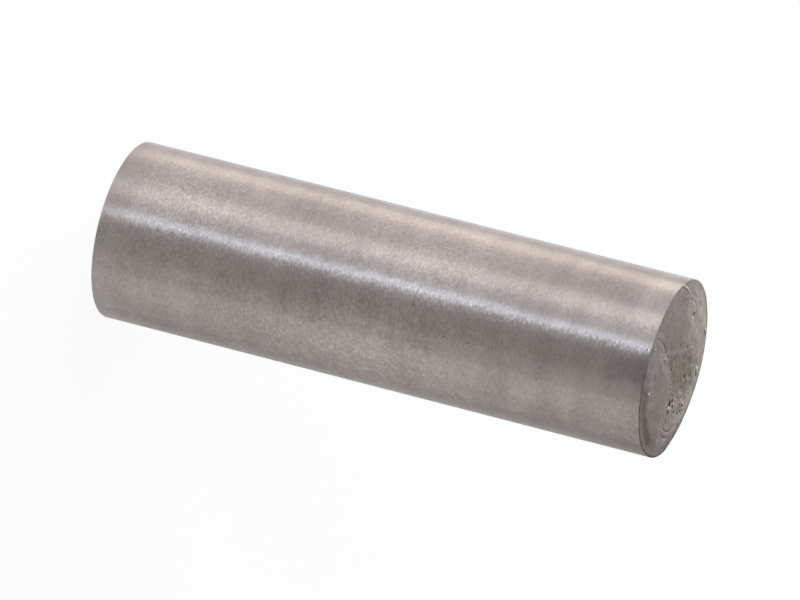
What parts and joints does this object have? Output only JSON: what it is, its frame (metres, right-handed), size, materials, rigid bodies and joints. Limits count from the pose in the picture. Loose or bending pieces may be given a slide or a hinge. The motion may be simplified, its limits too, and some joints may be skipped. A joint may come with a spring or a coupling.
{
  "type": "dowel pin",
  "caption": "Straight cylindrical steel dowel pin with a ground shank, a square foot and a blunt cropped end with a torn hollow and a crescent trough.",
  "frame": {"origin": "centre of the square foot that the pin stands on", "axes": "+Z along the pin's axis, from the square foot to the cropped end; -Y is the side that faces the camera in the picture"},
  "size_m": [0.008, 0.008, 0.026],
  "materials": {
    "ground_steel": "centreless ground, fine lines round the pin"
  },
  "bodies": {
    "root": {"dowel_pin": "ground_steel"}
  },
  "joints": []
}
